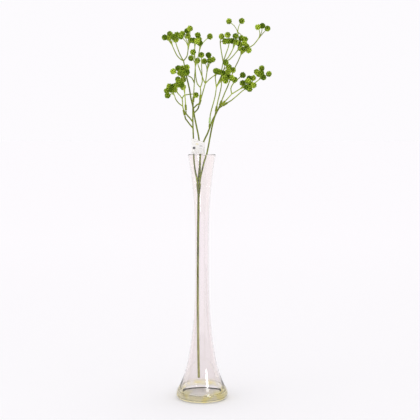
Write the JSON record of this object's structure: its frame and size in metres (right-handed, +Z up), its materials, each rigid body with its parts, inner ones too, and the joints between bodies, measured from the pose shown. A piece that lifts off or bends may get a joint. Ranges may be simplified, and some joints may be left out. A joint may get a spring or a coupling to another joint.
{
  "type": "flower vase",
  "caption": "Tall waisted clear-glass bud vase with a solid foot, holding a lift-out artificial berry spray with a paper wrap label at its mouth.",
  "frame": {"origin": "centre of the foot's flat underside, on the vase's axis", "axes": "+Z up along the vase's axis; +Y away from the viewer; +X to the viewer's right"},
  "size_m": [0.2216, 0.106, 0.7743],
  "materials": {
    "vase_glass": "gloss",
    "stem_plastic": "satin",
    "twig_plastic": "satin",
    "ferrule_plastic": "satin",
    "head_foam": "matt",
    "stem_wire": "satin",
    "label_paper": "matt"
  },
  "bodies": {
    "vase": {"glass_vase": "vase_glass"},
    "spray": {"main_stem": "stem_plastic", "main_stem_wire": "stem_wire", "stem_crown": "stem_plastic", "branch_left": "stem_plastic", "branch_far_left": "stem_plastic", "branch_right": "stem_plastic", "branch_far_right": "stem_plastic", "sprig_pins": "stem_wire", "paper_label": "label_paper"},
    "sprig_top_left": {"ferrule_top_left": "ferrule_plastic", "twigs_top_left": "twig_plastic", "heads_top_left": "head_foam"},
    "sprig_left_mid": {"ferrule_left_mid": "ferrule_plastic", "twigs_left_mid": "twig_plastic", "heads_left_mid": "head_foam"},
    "sprig_lower_left": {"ferrule_lower_left": "ferrule_plastic", "twigs_lower_left": "twig_plastic", "heads_lower_left": "head_foam"},
    "sprig_tall": {"ferrule_tall": "ferrule_plastic", "twigs_tall": "twig_plastic", "heads_tall": "head_foam"},
    "sprig_inner": {"ferrule_inner": "ferrule_plastic", "twigs_inner": "twig_plastic", "heads_inner": "head_foam"},
    "sprig_centre": {"ferrule_centre": "ferrule_plastic", "twigs_centre": "twig_plastic", "heads_centre": "head_foam"},
    "sprig_centre_right": {"ferrule_centre_right": "ferrule_plastic", "twigs_centre_right": "twig_plastic", "heads_centre_right": "head_foam"},
    "sprig_upper_right": {"ferrule_upper_right": "ferrule_plastic", "twigs_upper_right": "twig_plastic", "heads_upper_right": "head_foam"},
    "sprig_top_right": {"ferrule_top_right": "ferrule_plastic", "twigs_top_right": "twig_plastic", "heads_top_right": "head_foam"},
    "sprig_lower_right": {"ferrule_lower_right": "ferrule_plastic", "twigs_lower_right": "twig_plastic", "heads_lower_right": "head_foam"},
    "sprig_far_right": {"ferrule_far_right": "ferrule_plastic", "twigs_far_right": "twig_plastic", "heads_far_right": "head_foam"}
  },
  "joints": [
    {"name": "spray_lift", "type": "slide", "parent": "vase", "child": "spray", "axis": [0, 0, 1], "range_m": [0, 0.47]},
    {"name": "sprig_top_left_turn", "type": "hinge", "parent": "spray", "child": "sprig_top_left", "pos_m": [-0.034, 0.012, 0.672], "axis": [-0.1843, 0, 0.9829], "range_deg": [-15, 20]},
    {"name": "sprig_left_mid_turn", "type": "hinge", "parent": "spray", "child": "sprig_left_mid", "pos_m": [-0.032, -0.016, 0.594], "axis": [-0.0583, -0.1166, 0.9915], "range_deg": [-4, 12]},
    {"name": "sprig_lower_left_turn", "type": "hinge", "parent": "spray", "child": "sprig_lower_left", "pos_m": [-0.036, 0.012, 0.584], "axis": [-0.2242, 0.0747, 0.9717], "range_deg": [-6, 14]},
    {"name": "sprig_tall_turn", "type": "hinge", "parent": "spray", "child": "sprig_tall", "pos_m": [-0.017, -0.004, 0.61], "axis": [0.0665, 0, 0.9978], "range_deg": [-7, 4]},
    {"name": "sprig_inner_turn", "type": "hinge", "parent": "spray", "child": "sprig_inner", "pos_m": [-0.003, -0.011, 0.614], "axis": [0.099, -0.099, 0.9901], "range_deg": [-8, 20]},
    {"name": "sprig_centre_turn", "type": "hinge", "parent": "spray", "child": "sprig_centre", "pos_m": [-0.004, 0.014, 0.605], "axis": [0.2817, 0.0563, 0.9578], "range_deg": [-20, 20]},
    {"name": "sprig_centre_right_turn", "type": "hinge", "parent": "spray", "child": "sprig_centre_right", "pos_m": [0.016, -0.012, 0.568], "axis": [0.0891, -0.1782, 0.98], "range_deg": [-20, 4]},
    {"name": "sprig_upper_right_turn", "type": "hinge", "parent": "spray", "child": "sprig_upper_right", "pos_m": [0.029, -0.002, 0.591], "axis": [0.1957, 0.0652, 0.9785], "range_deg": [-20, 5]},
    {"name": "sprig_top_right_turn", "type": "hinge", "parent": "spray", "child": "sprig_top_right", "pos_m": [0.038, 0.009, 0.603], "axis": [0.3678, 0.1379, 0.9196], "range_deg": [-5, 20]},
    {"name": "sprig_lower_right_turn", "type": "hinge", "parent": "spray", "child": "sprig_lower_right", "pos_m": [0.043, -0.001, 0.603], "axis": [0.6667, -0.3333, 0.6667], "range_deg": [-20, 4]},
    {"name": "sprig_far_right_turn", "type": "hinge", "parent": "spray", "child": "sprig_far_right", "pos_m": [0.047, 0.018, 0.601], "axis": [0.8444, 0.1299, 0.5197], "range_deg": [-20, 8]}
  ]
}
